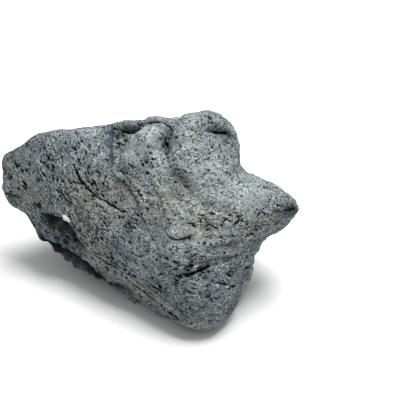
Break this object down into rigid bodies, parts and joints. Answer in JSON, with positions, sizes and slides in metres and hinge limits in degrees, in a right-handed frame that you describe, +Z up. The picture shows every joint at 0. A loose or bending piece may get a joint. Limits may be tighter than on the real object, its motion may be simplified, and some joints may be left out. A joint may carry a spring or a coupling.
{
  "type": "lava rock",
  "caption": "Rough wedge-shaped lump of porous grey basalt with rounded flow lobes, a blunt nose and a pointed horn; a decorative stone that rests on its own underside.",
  "frame": {"origin": "under the middle of the stone's bounding box, on the surface it rests on", "axes": "+X along the length, from the blunt nose to the horn; +Z up; -Y towards the sloping front face"},
  "size_m": [0.3036, 0.2068, 0.1734],
  "materials": {
    "vesicular_basalt": "matte, finely porous, blue-grey with brownish patches",
    "pale_mineral": "satin grains of feldspar and zeolite set in the skin"
  },
  "bodies": {
    "root": {"lava_rock": "vesicular_basalt"}
  },
  "joints": []
}
